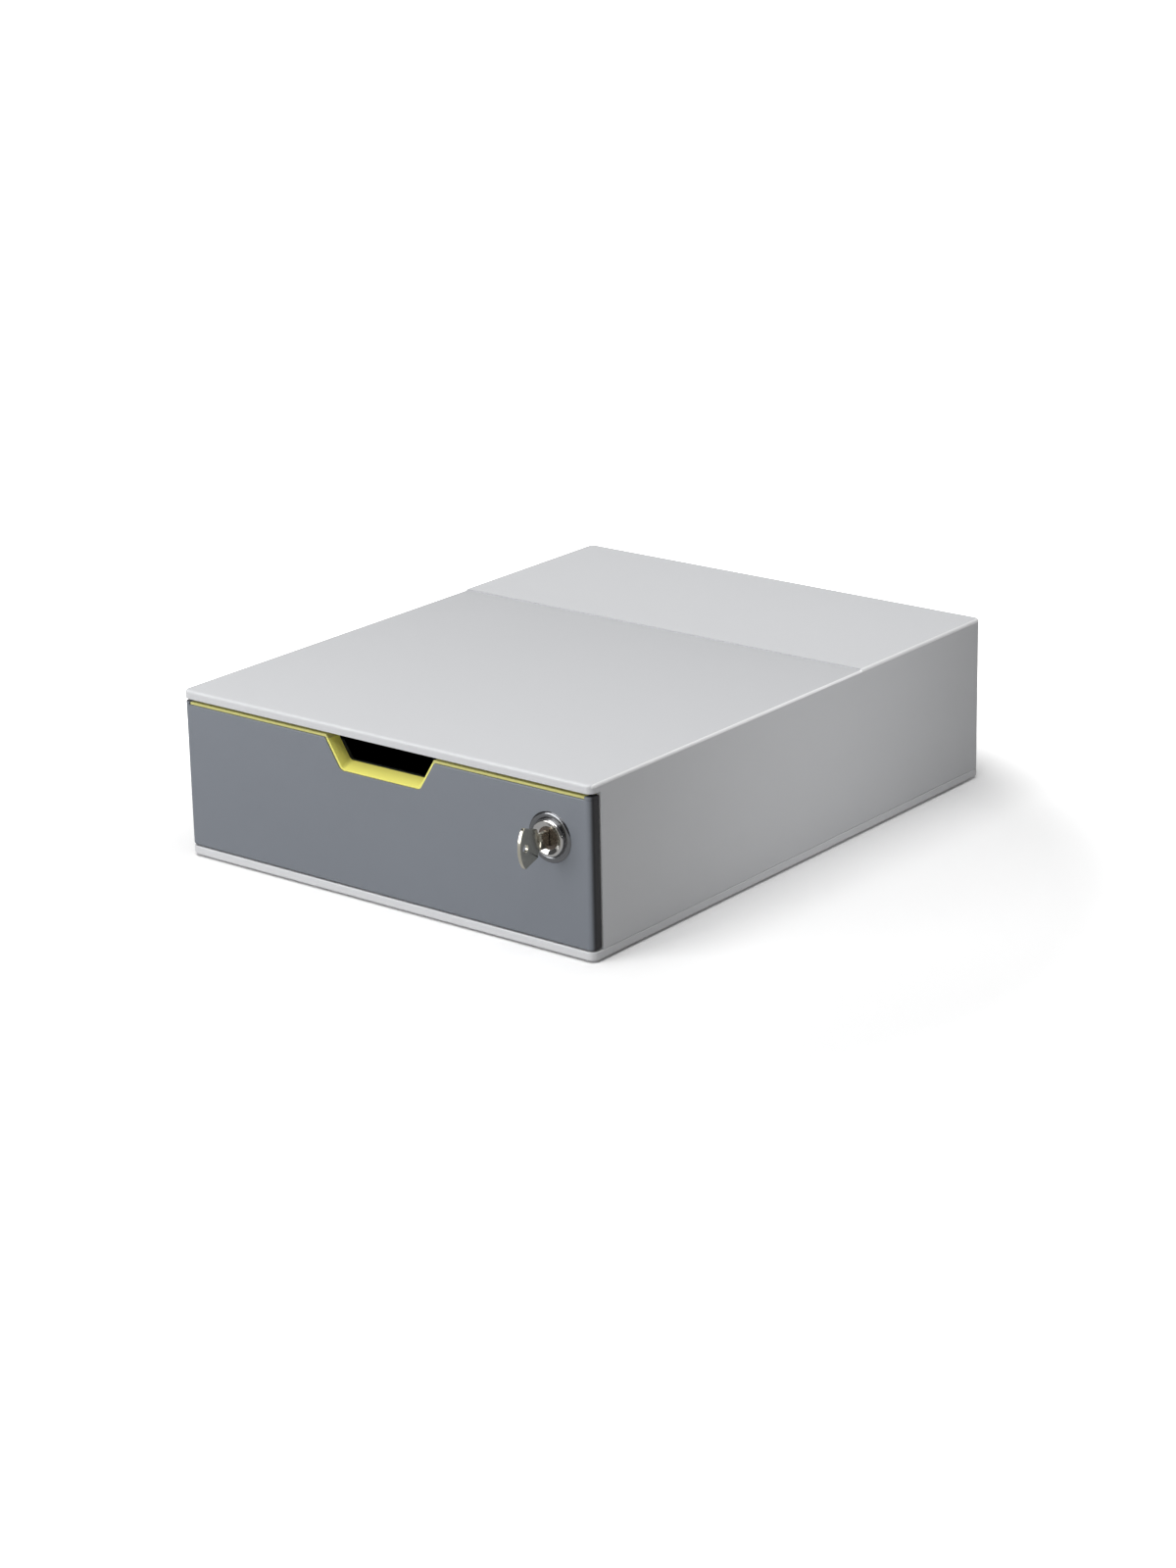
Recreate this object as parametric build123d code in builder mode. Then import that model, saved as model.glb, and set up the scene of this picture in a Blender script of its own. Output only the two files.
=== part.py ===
from build123d import *
from math import radians, tan
import os

os.makedirs("parts", exist_ok=True)

# Lockable desk drawer for A4 and C4 papers. Sizes in mm; X to the right, Y to the back, Z up from the desk.

# Case
case_width = 280.0
case_depth = 356.0
case_height = 95.0
wall = 2.5
rear_corner = 4.0
lid_corner = 4.0
lid_edge = 1.5
lip_height = 4.8
step_depth = 237.0
step_drop = 0.75
foot_lift = 1.0
sill_top = 6.0
sill_corner = 4.5
seam_edge = 0.4

# Front
panel_depth = 6.8
panel_skin = 2.6
panel_wall = 2.2
panel_side_gap = 0.5
panel_bottom_gap = 0.7
panel_top_gap = 3.3
panel_back_gap = 0.7
panel_corner = 3.5
panel_end_length = 4.0
notch_top_width = 75.2
notch_depth = 16.4
notch_angle = 32.0
notch_corner = 4.0
liner_thickness = 2.5
liner_frame = 1.6
liner_flange = 1.4
liner_setback = 0.8
liner_side_gap = 0.5
liner_bottom_gap = 2.0
notch_ramp = 3.5

# Tray
tray_side_gap = 0.5
tray_sill_gap = 1.3
tray_drop = 2.9
tray_wall = 2.2
tray_corner = 6.0
tray_rear_gap = 7.0
rim_reach = 2.3
rim_height = 2.5

# Slides and stops
slip = 0.3
rail_height = 3.0
rail_middle = 41.5
rail_reach = 6.0
guide_height = 3.0
guide_side_gap = 0.8
drawer_travel = 260.0
stop_offset = 90.0
stop_width = 12.0
stop_overlap = 3.3

# Lock, placed in the front panel
lock_from_side = 26.8
lock_drop = 24.1
ring_radius = 13.5
ring_thickness = 0.9
head_radius = 10.0
head_height = 2.0
barrel_radius = 8.0
barrel_flat = 7.0
barrel_overrun = 1.5
nut_across_flats = 21.0
nut_height = 4.0
washer_thickness = 1.0
plug_radius = 5.5
dish_radius = 8.4
dish_depth = 1.2
plug_face_radius = 6.2
plug_face_height = 1.2
plug_tail = 7.0
keyway_floor = 0.6
wafer_count = 5
wafer_pitch = 3.0
wafer_thickness = 0.8
cam_top_gap = 2.8
cam_width = 11.0
cam_thickness = 2.0
stop_plate_thickness = 0.8
running_fit = 0.05
metal_fit = 0.1

# Key
key_thickness = 2.0
blade_height = 7.5
neck_length = 6.5
neck_height = 9.0
bow_length = 15.5
bow_height = 22.0
bow_inner_height = 15.0
bow_crown = 3.8
ring_hole_radius = 2.0
ring_hole_inset = 4.3

# Places that follow from the sizes above
key_overhang = ring_thickness + head_height + neck_length + bow_length
front_y = -(case_depth - key_overhang) / 2
back_y = front_y + case_depth
middle_y = (front_y + back_y) / 2
inner_half = case_width / 2 - wall
lip_bottom = case_height - lip_height
ceiling = case_height - step_drop - wall
step_y = front_y + step_depth
side_wall_y = front_y + panel_depth + panel_back_gap
back_wall_y = back_y - wall
panel_back_y = front_y + panel_depth
panel_bottom = sill_top + panel_bottom_gap
panel_top = lip_bottom - panel_top_gap
notch_floor = panel_top - notch_depth
tray_half_width = inner_half - rail_reach - tray_side_gap
tray_bottom = sill_top + tray_sill_gap
tray_top = panel_top - tray_drop
tray_front_y = panel_back_y + liner_thickness
tray_back_y = back_wall_y - tray_rear_gap
lock_x = case_width / 2 - lock_from_side
lock_height = panel_top - lock_drop
lock_centre = (lock_x, lock_height)
head_y = front_y - ring_thickness - head_height
plug_face_y = head_y + dish_depth
washer_y = tray_front_y + tray_wall
nut_y = washer_y + washer_thickness
barrel_end_y = nut_y + nut_height + barrel_overrun
keyway_end_y = barrel_end_y - keyway_floor
stop_plate_y = barrel_end_y + slip
cam_y = stop_plate_y + stop_plate_thickness
cam_back_y = cam_y + cam_thickness
cam_reach = ceiling - cam_top_gap - lock_height


def facing(y):
    """Plane seen from the front at a given depth; pulling back into the case is a negative amount."""
    return Plane.XZ.offset(-y)


def notch_half_width(height):
    """Half the width of the notch in the panel at a height."""
    return notch_top_width / 2 - (panel_top - height) * tan(radians(notch_angle))


def notch_corners(floor, top, growth):
    """Corners of the notch outline between two heights, grown sideways by an amount."""
    low = notch_half_width(floor) + growth
    high = notch_half_width(top) + growth
    return [(-high, top), (-low, floor), (low, floor), (high, top)]


# --- Housing cover: lid, side walls and back in one moulding ----------------------------------

rail_setback = 8.0
rail_start_y = side_wall_y + rail_setback
boss_radius = 3.2
boss_height = 18.0
boss_web = 3.0
boss_floor = 2.0
front_boss_setback = 30.0
rear_boss_setback = 36.0
back_boss_offset = 60.0
back_boss_inset = 3.0
screw_hole = 1.35
side_boss_x = tray_half_width + slip + boss_radius
side_boss_ys = (front_y + front_boss_setback, back_y - rear_boss_setback)
side_boss_places = [(side * side_boss_x, boss_y) for side in (-1, 1) for boss_y in side_boss_ys]
back_boss_places = [(side * back_boss_offset, back_wall_y - back_boss_inset) for side in (-1, 1)]
boss_places = side_boss_places + back_boss_places
stop_tab_y = tray_back_y - tray_wall
stop_block_y = stop_tab_y - drawer_travel - slip
stop_tab_gap = 1.0
stop_tab_top = ceiling - stop_tab_gap
stop_block_bottom = stop_tab_top - stop_overlap
stop_block_length = 5.0
stop_ramp_length = 9.0
lid_rib_thickness = 1.6
lid_rib_depth = 2.2
lid_rib_pitch = 45.0
lid_rib_setback = 45.0
lid_rib_count = 6
stud_radius = 1.5
stud_spacing = 14.0
stud_head_reach = 1.1
stud_head_height = 1.0
keeper_gap = 0.6
keeper_y = cam_y - keeper_gap
keeper_thickness = 2.0
keeper_flange = 9.0
keeper_flange_thickness = 1.2
keeper_stud_y = keeper_y - keeper_thickness - keeper_flange / 2
stud_places = [(lock_x - stud_spacing / 2, keeper_stud_y), (lock_x + stud_spacing / 2, keeper_stud_y)]

with BuildPart() as housing_cover:
    # Front two thirds of the lid fall gently from the front edge to the foot of the step.
    with BuildSketch(Plane.YZ.offset(-case_width / 2)):
        with BuildLine():
            Polyline(
                (front_y, sill_top),
                (front_y, case_height),
                (step_y, case_height - step_drop),
                (step_y, sill_top),
                close=True,
            )
        make_face()
    extrude(amount=case_width)
    fillet(housing_cover.edges().filter_by(Axis.Z).group_by(Axis.Y)[0], lid_corner)
    lid_face = housing_cover.faces().sort_by(Axis.Z)[-1]
    fillet(lid_face.edges().group_by(Axis.Y)[:-1], lid_edge)
    # Rear third stands a step higher and is level.
    with BuildSketch(Plane.XY.offset(sill_top)) as rear_plan:
        with Locations((0, step_y)):
            Rectangle(case_width, back_y - step_y, align=(Align.CENTER, Align.MIN))
        fillet(rear_plan.vertices().group_by(Axis.Y)[-1], rear_corner)
    extrude(amount=case_height - sill_top)
    band_face = housing_cover.faces().filter_by(Plane.XY).sort_by(Axis.Z)[-1]
    fillet(band_face.edges().group_by(Axis.Y)[1:], lid_edge)
    chamfer(housing_cover.faces().sort_by(Axis.Z)[0].edges(), seam_edge)
    # Room for the drawer, open below and in front.
    with BuildSketch(Plane.XY.offset(sill_top)) as cavity:
        with Locations((0, side_wall_y)):
            Rectangle(2 * inner_half, back_wall_y - side_wall_y, align=(Align.CENTER, Align.MIN))
        fillet(cavity.vertices().group_by(Axis.Y)[-1], rear_corner - wall)
    extrude(amount=ceiling - sill_top, mode=Mode.SUBTRACT)
    with BuildSketch(Plane.XY.offset(sill_top)):
        with Locations((0, front_y)):
            Rectangle(case_width, side_wall_y - front_y, align=(Align.CENTER, Align.MIN))
    extrude(amount=lip_bottom - sill_top, mode=Mode.SUBTRACT)
    # Rails that the tray's guides run on.
    with BuildSketch(facing(rail_start_y)):
        with Locations(*[(side * (inner_half - rail_reach / 2), rail_middle) for side in (-1, 1)]):
            Rectangle(rail_reach, rail_height)
    extrude(amount=rail_start_y - back_wall_y)
    # Screw bosses, each with a web to its wall.
    with BuildSketch(Plane.XY.offset(sill_top)):
        with Locations(*boss_places):
            Circle(boss_radius)
        for boss_x, boss_y in side_boss_places:
            with Locations(((boss_x + (inner_half if boss_x > 0 else -inner_half)) / 2, boss_y)):
                Rectangle(inner_half - side_boss_x + seam_edge, boss_web)
        for boss_x, boss_y in back_boss_places:
            with Locations((boss_x, (boss_y + back_wall_y) / 2)):
                Rectangle(boss_web, back_boss_inset + seam_edge)
    extrude(amount=boss_height)
    with BuildSketch(Plane.XY.offset(sill_top)):
        with Locations(*boss_places):
            Circle(screw_hole)
    extrude(amount=boss_height - boss_floor, mode=Mode.SUBTRACT)
    # Long ribs under the lid.
    with BuildSketch(Plane.XY.offset(ceiling)):
        with Locations((0, (side_wall_y + lid_rib_setback + back_wall_y) / 2)):
            with GridLocations(lid_rib_pitch, 1.0, lid_rib_count, 1):
                Rectangle(lid_rib_thickness, back_wall_y - side_wall_y - lid_rib_setback)
    extrude(amount=-lid_rib_depth)
    # Blocks that stop the open drawer, ramped in front so that it can be pushed in.
    for side in (-1, 1):
        with BuildSketch(Plane.YZ.offset(side * stop_offset - stop_width / 2)):
            with BuildLine():
                Polyline(
                    (stop_block_y, ceiling),
                    (stop_block_y, stop_block_bottom),
                    (stop_block_y - stop_block_length, stop_block_bottom),
                    (stop_block_y - stop_ramp_length, ceiling),
                    close=True,
                )
            make_face()
        extrude(amount=stop_width)
    # Studs with formed heads that hold the keeper.
    with BuildSketch(Plane.XY.offset(ceiling)):
        with Locations(*stud_places):
            Circle(stud_radius)
    extrude(amount=-keeper_flange_thickness)
    with BuildSketch(Plane.XY.offset(ceiling - keeper_flange_thickness)):
        with Locations(*stud_places):
            Circle(stud_radius + stud_head_reach)
    extrude(amount=-stud_head_height, taper=30)
housing_cover.part.label = "housing_cover"
export_step(housing_cover.part, "parts/housing_cover.step")


# --- Base plate: shallow tray under the cover, its front edge is the sill ----------------------

base_skin = 2.0
base_edge = 0.8
floor_top = foot_lift + base_skin
sill_depth = 6.6
runner_offset = 80.0
runner_width = 4.0
runner_top = tray_bottom - slip
runner_setback = 5.0
runner_start_y = side_wall_y + runner_setback
cross_rib_height = 2.0
cross_rib_pitch = 66.0
cross_rib_count = 5
pad_radius = 4.5
screw_head_radius = 2.5
screw_head_height = 1.8
screw_head_fit = 0.2
screw_head_bevel = 0.5
counterbore_depth = 2.2
foot_radius = 6.0
foot_inset = 24.0
foot_seat = 1.0
foot_seat_rim = 1.5
foot_pad_height = 1.2
foot_bevel = 0.6
foot_places = {
    "foot_front_left": (-case_width / 2 + foot_inset, front_y + foot_inset),
    "foot_front_right": (case_width / 2 - foot_inset, front_y + foot_inset),
    "foot_rear_left": (-case_width / 2 + foot_inset, back_y - foot_inset),
    "foot_rear_right": (case_width / 2 - foot_inset, back_y - foot_inset),
}

with BuildPart() as base_plate:
    with BuildSketch(Plane.XY.offset(foot_lift)) as base_plan:
        with Locations((0, middle_y)):
            Rectangle(case_width, case_depth)
        fillet(base_plan.vertices().group_by(Axis.Y)[0], sill_corner)
        fillet(base_plan.vertices().group_by(Axis.Y)[-1], rear_corner)
    extrude(amount=sill_top - foot_lift)
    chamfer(base_plate.faces().sort_by(Axis.Z)[0].edges(), base_edge)
    chamfer(base_plate.faces().sort_by(Axis.Z)[-1].edges(), seam_edge)
    # Hollow behind the sill.
    with BuildSketch(Plane.XY.offset(floor_top)) as base_hollow:
        with Locations((0, front_y + sill_depth)):
            Rectangle(2 * inner_half, back_wall_y - front_y - sill_depth, align=(Align.CENTER, Align.MIN))
        fillet(base_hollow.vertices(), rear_corner - wall)
    extrude(amount=sill_top - floor_top, mode=Mode.SUBTRACT)
    # Two runners under the tray, and low ribs across the floor.
    with BuildSketch(Plane.XY.offset(floor_top)):
        with Locations((0, (runner_start_y + back_wall_y) / 2)):
            with GridLocations(2 * runner_offset, 1.0, 2, 1):
                Rectangle(runner_width, back_wall_y - runner_start_y)
    extrude(amount=runner_top - floor_top)
    with BuildSketch(Plane.XY.offset(floor_top)):
        with Locations((0, middle_y)):
            with GridLocations(1.0, cross_rib_pitch, 1, cross_rib_count):
                Rectangle(2 * inner_half, lid_rib_thickness)
    extrude(amount=cross_rib_height)
    # Pads under the cover's bosses, and under the seats of the feet.
    with BuildSketch(Plane.XY.offset(floor_top)):
        with Locations(*boss_places):
            Circle(pad_radius)
    extrude(amount=sill_top - floor_top)
    with BuildSketch(Plane.XY.offset(floor_top)):
        with Locations(*foot_places.values()):
            Circle(foot_radius + foot_seat_rim)
    extrude(amount=foot_pad_height)
    with BuildSketch(Plane.XY.offset(foot_lift)):
        with Locations(*foot_places.values()):
            Circle(foot_radius + metal_fit)
    extrude(amount=foot_seat, mode=Mode.SUBTRACT)
    # Screw holes, counterbored from below.
    with BuildSketch(Plane.XY.offset(foot_lift)):
        with Locations(*boss_places):
            Circle(screw_head_radius + screw_head_fit)
    extrude(amount=counterbore_depth, mode=Mode.SUBTRACT)
    with BuildSketch(Plane.XY.offset(foot_lift)):
        with Locations(*boss_places):
            Circle(screw_hole)
    extrude(amount=sill_top - foot_lift, mode=Mode.SUBTRACT)
    # The pads keep inside the case outline.
    with BuildSketch(Plane.XY.offset(foot_lift)):
        with Locations((0, middle_y)):
            Rectangle(case_width, case_depth)
    extrude(amount=runner_top - foot_lift, mode=Mode.INTERSECT)
base_plate.part.label = "base_plate"
export_step(base_plate.part, "parts/base_plate.step")


# --- Rubber feet: flat discs with a bevelled lower edge ----------------------------------------

for foot_name, foot_place in foot_places.items():
    with BuildPart() as foot:
        with BuildSketch(Plane.XY):
            with Locations(foot_place):
                Circle(foot_radius)
        extrude(amount=foot_lift + foot_seat)
        chamfer(foot.faces().sort_by(Axis.Z)[0].edges(), foot_bevel)
    foot.part.label = foot_name
    export_step(foot.part, f"parts/{foot_name}.step")


# --- Base screws: bevelled heads in counterbores, plain shanks ---------------------------------

screw_radius = 1.25
base_screw_length = 14.0
base_screw_seat = foot_lift + counterbore_depth

with BuildPart() as base_screws:
    with BuildSketch(Plane.XY.offset(base_screw_seat)):
        with Locations(*boss_places):
            Circle(screw_head_radius)
    extrude(amount=-screw_head_height)
    chamfer(base_screws.faces().group_by(Axis.Z)[0].edges(), screw_head_bevel)
    with BuildSketch(Plane.XY.offset(base_screw_seat)):
        with Locations(*boss_places):
            Circle(screw_radius)
    extrude(amount=base_screw_length)
base_screws.part.label = "base_screws"
export_step(base_screws.part, "parts/base_screws.step")


# --- Keeper: bent steel angle under the lid, behind which the cam turns ------------------------

keeper_width = 26.0
keeper_overlap = 3.0
keeper_bend = 0.8
keeper_bottom = lock_height + cam_reach - keeper_overlap

with BuildPart() as lock_keeper:
    with BuildSketch(Plane.YZ.offset(lock_x - keeper_width / 2)) as keeper_profile:
        with BuildLine():
            Polyline(
                (keeper_y, keeper_bottom),
                (keeper_y, ceiling),
                (keeper_y - keeper_thickness - keeper_flange, ceiling),
                (keeper_y - keeper_thickness - keeper_flange, ceiling - keeper_flange_thickness),
                (keeper_y - keeper_thickness, ceiling - keeper_flange_thickness),
                (keeper_y - keeper_thickness, keeper_bottom),
                close=True,
            )
        make_face()
        fillet(keeper_profile.vertices().sort_by(Axis.Y)[-1:], keeper_bend)
    extrude(amount=keeper_width)
    with BuildSketch(Plane.XY.offset(ceiling)):
        with Locations(*stud_places):
            Circle(stud_radius + metal_fit)
    extrude(amount=-keeper_flange_thickness, mode=Mode.SUBTRACT)
lock_keeper.part.label = "lock_keeper"
export_step(lock_keeper.part, "parts/lock_keeper.step")


# --- Front panel: hollow-backed moulding with the finger notch ----------------------------------

panel_half = case_width / 2 - panel_side_gap
panel_rib = 1.2
panel_rib_pitch = 46.0
panel_rib_count = 5
panel_lower_edge = 1.2
panel_upper_edge = 0.5
lower_screw_inset = 13.0
lower_screw_rise = 14.7
upper_screw_gap = 36.4
upper_screw_drop = 16.9
lower_screw_x = tray_half_width - lower_screw_inset
upper_screw_x = notch_top_width / 2 + upper_screw_gap
front_screw_places = [(side * lower_screw_x, tray_bottom + lower_screw_rise) for side in (-1, 1)]
front_screw_places += [(side * upper_screw_x, panel_top - upper_screw_drop) for side in (-1, 1)]
front_boss_radius = 3.6
screw_tip_gap = 0.6
lock_boss_wall = 4.0
notch_wall = 1.8
flange_gap = 0.2
cut_above = 6.0
above_panel = panel_top + cut_above
liner_top = panel_top + flange_gap + liner_flange

with BuildPart() as front_panel:
    with BuildSketch(Plane.XY.offset(panel_bottom)) as panel_plan:
        with Locations((0, front_y)):
            Rectangle(2 * panel_half, panel_depth, align=(Align.CENTER, Align.MIN))
        fillet(panel_plan.vertices().group_by(Axis.Y)[0], panel_corner)
    extrude(amount=panel_top - panel_bottom)
    fillet(front_panel.faces().sort_by(Axis.Z)[0].edges().group_by(Axis.Y)[:-1], panel_lower_edge)
    fillet(front_panel.faces().sort_by(Axis.Z)[-1].edges().group_by(Axis.Y)[:-1], panel_upper_edge)
    # The ends stand up beside the liner's flange.
    with BuildSketch(Plane.XY.offset(panel_top)) as panel_ends:
        with Locations((0, front_y)):
            Rectangle(2 * panel_half, panel_depth, align=(Align.CENTER, Align.MIN))
        fillet(panel_ends.vertices().group_by(Axis.Y)[0], panel_corner)
        with Locations((0, front_y)):
            Rectangle(
                2 * (panel_half - panel_end_length),
                2 * panel_depth,
                mode=Mode.SUBTRACT,
            )
    extrude(amount=liner_top - panel_top)
    # Hollow back.
    with BuildSketch(facing(panel_back_y)):
        with Locations((0, (panel_bottom + panel_top) / 2)):
            Rectangle(2 * (panel_half - panel_wall), panel_top - panel_bottom - 2 * panel_wall)
    extrude(amount=panel_depth - panel_skin, mode=Mode.SUBTRACT)
    # Ribs, screw bosses, the lock's boss and the wall round the notch.
    with BuildSketch(facing(front_y + panel_skin)):
        with Locations((0, (panel_bottom + panel_top) / 2)):
            with GridLocations(panel_rib_pitch, 1.0, panel_rib_count, 1):
                Rectangle(panel_rib, panel_top - panel_bottom - 2 * panel_wall)
            Rectangle(2 * (panel_half - panel_wall), panel_rib)
        with Locations(*front_screw_places):
            Circle(front_boss_radius)
        with Locations(lock_centre):
            Circle(barrel_radius + lock_boss_wall)
        Polygon(*notch_corners(notch_floor - notch_wall, panel_top - panel_wall, notch_wall), align=None)
    extrude(amount=panel_skin - panel_depth)
    with BuildSketch(facing(front_y)) as notch_outline:
        Polygon(*notch_corners(notch_floor, above_panel, 0.0), align=None)
        fillet(notch_outline.vertices().group_by(Axis.Y)[0], notch_corner)
    extrude(amount=-panel_depth, mode=Mode.SUBTRACT)
    with BuildSketch(facing(front_y)):
        with Locations(lock_centre):
            Circle(barrel_radius + metal_fit)
    extrude(amount=-panel_depth, mode=Mode.SUBTRACT)
    with BuildSketch(facing(panel_back_y)):
        with Locations(*front_screw_places):
            Circle(screw_hole)
    extrude(amount=panel_depth - panel_skin + screw_tip_gap, mode=Mode.SUBTRACT)
front_panel.part.label = "front_panel"
export_step(front_panel.part, "parts/front_panel.step")


# --- Front liner: coloured plate behind the panel, proud above it and round the notch ----------

frame_fit = 0.15
mouth_corner = 3.0
liner_half = inner_half - liner_side_gap
liner_bottom = sill_top + liner_bottom_gap
flange_half = panel_half - panel_end_length - slip
liner_front_y = front_y + liner_setback

with BuildPart() as front_liner:
    with BuildSketch(facing(panel_back_y)):
        with Locations((0, liner_bottom)):
            Rectangle(2 * liner_half, liner_top - liner_bottom, align=(Align.CENTER, Align.MIN))
    extrude(amount=-liner_thickness)
    # Flange over the top of the panel.
    with BuildSketch(facing(liner_front_y)):
        with Locations((0, liner_top)):
            Rectangle(2 * flange_half, liner_flange, align=(Align.CENTER, Align.MAX))
    extrude(amount=liner_front_y - tray_front_y)
    # Frame that fills the notch in the panel.
    with BuildSketch(facing(liner_front_y)) as frame_outline:
        Polygon(*notch_corners(notch_floor + frame_fit, liner_top, -frame_fit), align=None)
        fillet(frame_outline.vertices().group_by(Axis.Y)[0], notch_corner)
    extrude(amount=liner_front_y - tray_front_y)
    # Finger opening through it: the floor ramps up towards the back.
    with BuildSketch(facing(liner_front_y)) as mouth:
        Polygon(*notch_corners(notch_floor + liner_frame / 2, above_panel, -liner_frame), align=None)
        fillet(mouth.vertices().group_by(Axis.Y)[0], mouth_corner)
    with BuildSketch(facing(tray_front_y)) as throat:
        Polygon(*notch_corners(notch_floor + notch_ramp, above_panel, -liner_frame), align=None)
        fillet(throat.vertices().group_by(Axis.Y)[0], mouth_corner)
    loft(mode=Mode.SUBTRACT)
    with BuildSketch(facing(panel_back_y)):
        with Locations(lock_centre):
            Circle(barrel_radius + metal_fit)
        with Locations(*front_screw_places):
            Circle(screw_hole)
    extrude(amount=-liner_thickness, mode=Mode.SUBTRACT)
front_liner.part.label = "front_liner"
export_step(front_liner.part, "parts/front_liner.step")


# --- Drawer tray: thin-walled tray with guides for the rails and tabs for the stops ------------

guide_reach = inner_half - tray_half_width - guide_side_gap
guide_offset = rail_height / 2 + slip + guide_height / 2
guide_setback = 4.0
guide_start_y = tray_front_y + guide_setback
rim_setback = 8.0
rim_start_y = tray_front_y + rim_setback
front_corner = 2.7
stop_tab_corner = 1.5

with BuildPart() as drawer_tray:
    with BuildSketch(Plane.XY.offset(tray_bottom)) as tray_plan:
        with Locations((0, tray_front_y)):
            Rectangle(2 * tray_half_width, tray_back_y - tray_front_y, align=(Align.CENTER, Align.MIN))
        fillet(tray_plan.vertices().group_by(Axis.Y)[0], front_corner)
        fillet(tray_plan.vertices().group_by(Axis.Y)[-1], tray_corner)
    extrude(amount=tray_top - tray_bottom)
    offset(amount=-tray_wall, openings=drawer_tray.faces().sort_by(Axis.Z)[-1])
    # Rim along the sides and the back.
    with BuildSketch(Plane.XY.offset(tray_top)) as rim_plan:
        with Locations((0, rim_start_y)):
            Rectangle(
                2 * (tray_half_width + rim_reach),
                tray_back_y + rim_reach - rim_start_y,
                align=(Align.CENTER, Align.MIN),
            )
        fillet(rim_plan.vertices().group_by(Axis.Y)[-1], tray_corner + rim_reach)
        with Locations((0, rim_start_y)):
            Rectangle(
                2 * tray_half_width,
                tray_back_y - rim_start_y,
                align=(Align.CENTER, Align.MIN),
                mode=Mode.SUBTRACT,
            )
    extrude(amount=-rim_height)
    # Guides above and below the case's rails.
    with BuildSketch(facing(guide_start_y)):
        for side in (-1, 1):
            for level in (-1, 1):
                with Locations((side * (tray_half_width + guide_reach / 2), rail_middle + level * guide_offset)):
                    Rectangle(guide_reach, guide_height)
    extrude(amount=guide_start_y - (tray_back_y - tray_corner))
    # Tabs on the rear wall that meet the stop blocks.
    with BuildSketch(facing(stop_tab_y)) as stop_tabs:
        with Locations(*[(side * stop_offset, tray_top - rim_height) for side in (-1, 1)]):
            Rectangle(stop_width, stop_tab_top - tray_top + rim_height, align=(Align.CENTER, Align.MIN))
        fillet(stop_tabs.vertices().group_by(Axis.Y)[-1], stop_tab_corner)
    extrude(amount=-tray_wall)
    # Notch, lock hole and screw holes in the front wall.
    with BuildSketch(facing(tray_front_y)) as tray_notch:
        Polygon(*notch_corners(notch_floor + notch_ramp, above_panel, -liner_frame), align=None)
        fillet(tray_notch.vertices().group_by(Axis.Y)[0], mouth_corner)
    extrude(amount=-tray_wall, mode=Mode.SUBTRACT)
    with BuildSketch(facing(tray_front_y)):
        with Locations(lock_centre):
            Circle(barrel_radius + metal_fit)
        with Locations(*front_screw_places):
            Circle(screw_hole)
    extrude(amount=-tray_wall, mode=Mode.SUBTRACT)
drawer_tray.part.label = "drawer_tray"
export_step(drawer_tray.part, "parts/drawer_tray.step")


# --- Front screws: tray and liner to the panel --------------------------------------------------

front_screw_length = tray_wall + liner_thickness + panel_depth - panel_skin

with BuildPart() as front_screws:
    with BuildSketch(facing(washer_y)):
        with Locations(*front_screw_places):
            Circle(screw_head_radius)
    extrude(amount=-screw_head_height)
    chamfer(front_screws.faces().group_by(Axis.Y)[-1].edges(), screw_head_bevel)
    with BuildSketch(facing(washer_y)):
        with Locations(*front_screw_places):
            Circle(screw_radius)
    extrude(amount=front_screw_length)
front_screws.part.label = "front_screws"
export_step(front_screws.part, "parts/front_screws.step")


# --- Lock: trim ring, body, washer and nut ------------------------------------------------------

ring_edge = 0.3
ring_shoulder = 0.6
ring_shoulder_height = 0.65
ring_bevel = 1.9
head_bevel = 0.7
washer_rim = 4.0
nut_turned_rim = 1.3
lock_plane = Plane(origin=(lock_x, 0, lock_height), x_dir=(1, 0, 0), z_dir=(0, 0, 1))
lock_axis = Axis((lock_x, 0, lock_height), (0, 1, 0))

with BuildPart() as lock_trim_ring:
    with BuildSketch(lock_plane):
        with BuildLine():
            Polyline(
                (barrel_radius + metal_fit, front_y),
                (ring_radius, front_y),
                (ring_radius, front_y - ring_edge),
                (ring_radius - ring_shoulder, front_y - ring_shoulder_height),
                (ring_radius - ring_bevel, front_y - ring_thickness),
                (barrel_radius + metal_fit, front_y - ring_thickness),
                close=True,
            )
        make_face()
    revolve(axis=lock_axis)
lock_trim_ring.part.label = "lock_trim_ring"
export_step(lock_trim_ring.part, "parts/lock_trim_ring.step")

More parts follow.
